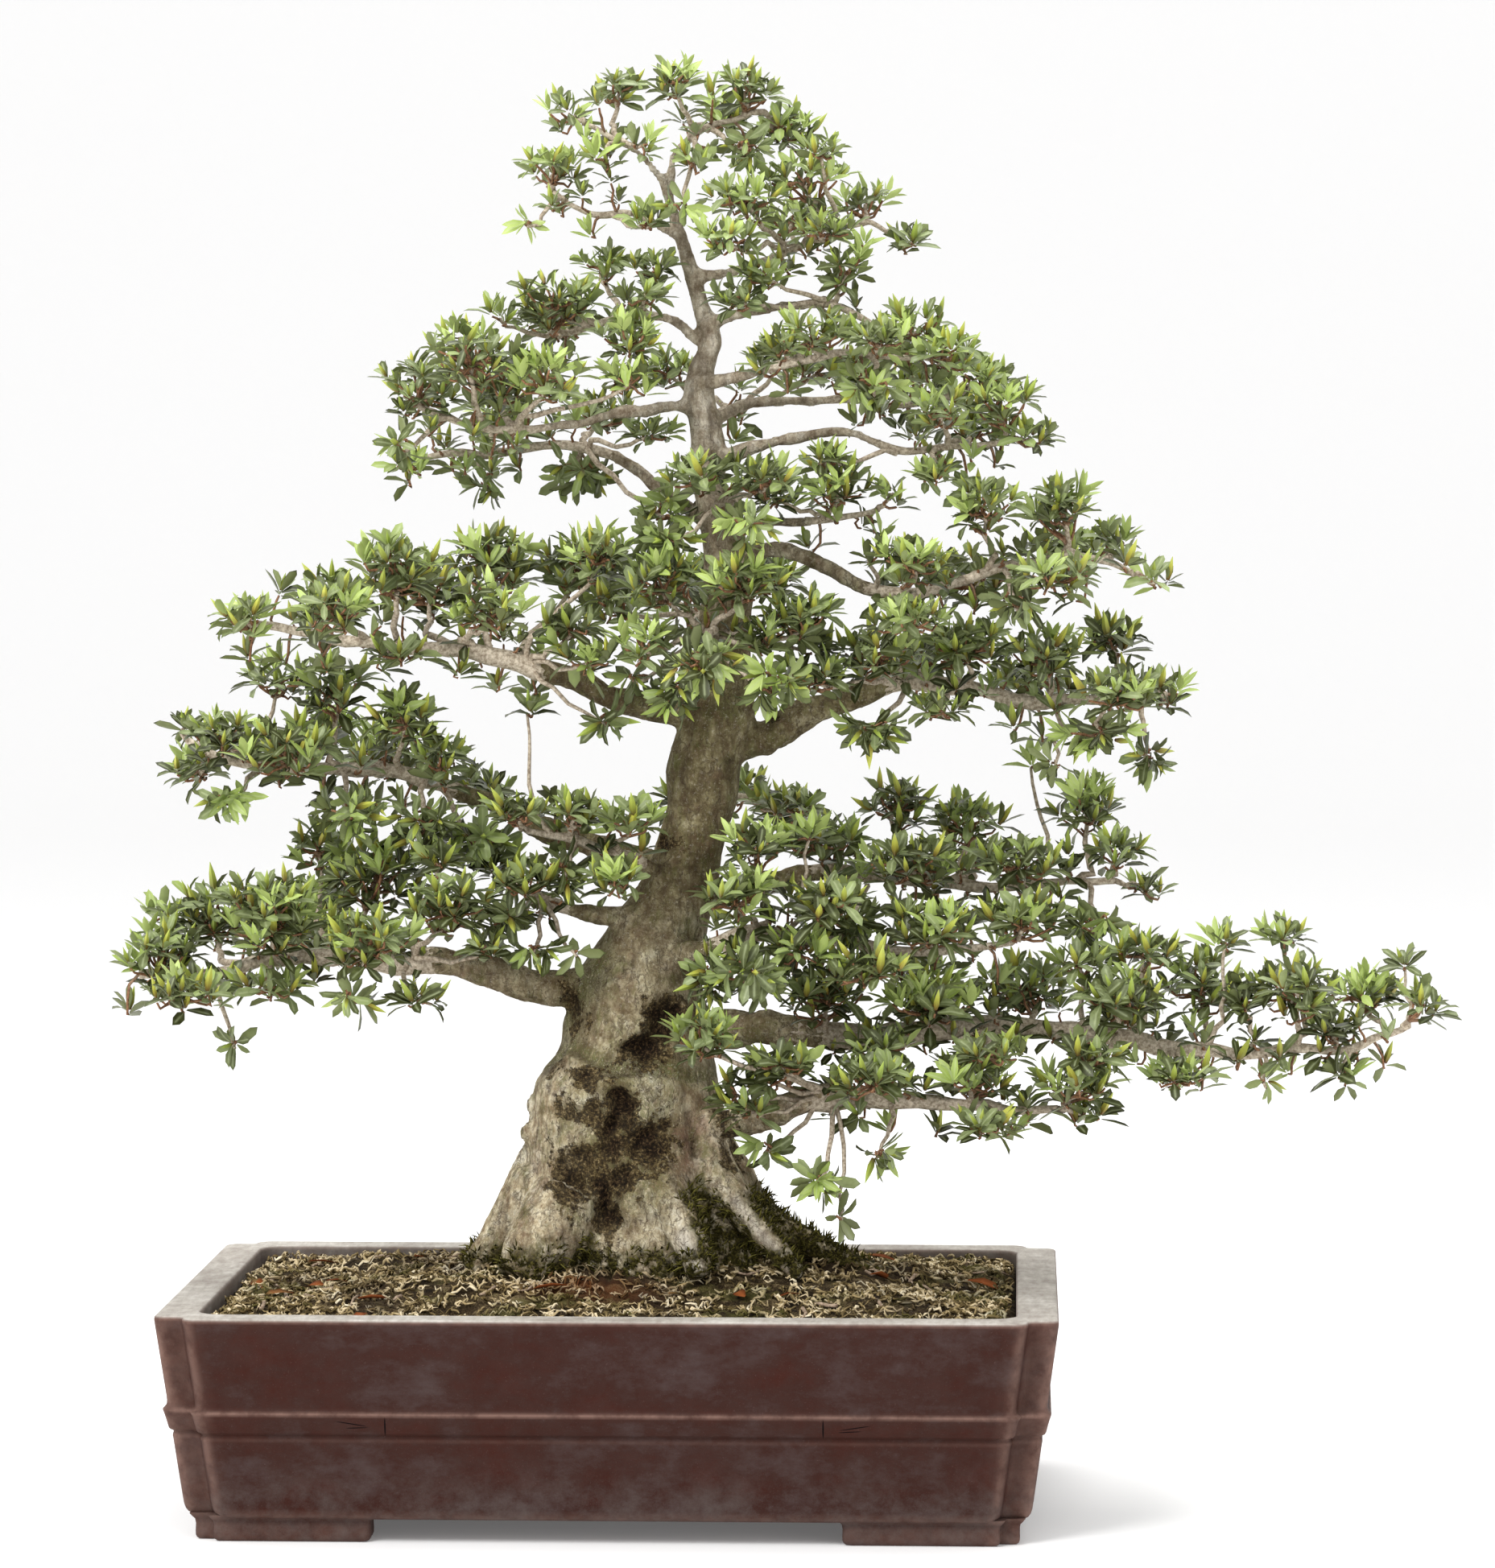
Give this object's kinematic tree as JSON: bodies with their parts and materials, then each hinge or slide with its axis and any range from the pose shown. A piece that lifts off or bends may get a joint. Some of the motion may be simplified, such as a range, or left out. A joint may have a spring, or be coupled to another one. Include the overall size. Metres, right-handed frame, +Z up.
{
  "type": "satsuki azalea bonsai",
  "caption": "Satsuki azalea bonsai with a wide root flare, tiered leafy limbs and an unglazed rectangular pot filled with soil and sphagnum.",
  "frame": {"origin": "on the table, under the middle of the whole model's box", "axes": "+Z up, -Y is the front that the tree is shown from, +X to the viewer's right"},
  "size_m": [0.7882, 0.385, 0.8376],
  "materials": {
    "clay": "unglazed red-brown stoneware, dull",
    "soil": "damp grit and root ball",
    "sphagnum": "dry curled moss",
    "drain_mesh": "dark plastic netting",
    "bark": "smooth grey-tan bark with furrows",
    "foliage": "leathery small leaves with a soft sheen"
  },
  "bodies": {
    "root": {"drain_mesh_left": "drain_mesh", "drain_mesh_right": "drain_mesh", "pot": "clay", "soil": "soil", "sphagnum_dressing": "sphagnum", "spray_back_high": "foliage", "spray_back_low": "foliage", "spray_back_middle": "foliage", "spray_centre_front": "foliage", "spray_centre_high": "foliage", "spray_crown_left": "foliage", "spray_crown_right": "foliage", "spray_crown_top": "foliage", "spray_crown_west": "foliage", "spray_front_right": "foliage", "spray_left_inner": "foliage", "spray_left_lower": "foliage", "spray_left_middle": "foliage", "spray_long_right": "foliage", "spray_low_left": "foliage", "spray_low_left_twig": "foliage", "spray_low_right": "foliage", "spray_right_fifth": "foliage", "spray_right_fourth": "foliage", "spray_right_lower": "foliage", "spray_right_middle": "foliage", "spray_right_seventh": "foliage", "spray_right_shoulder": "foliage", "spray_right_sixth": "foliage", "spray_right_third_twig": "foliage", "spray_upper_left": "foliage", "spray_upper_left_low": "foliage", "spray_upper_left_top": "foliage", "trunk": "bark"}
  },
  "joints": []
}
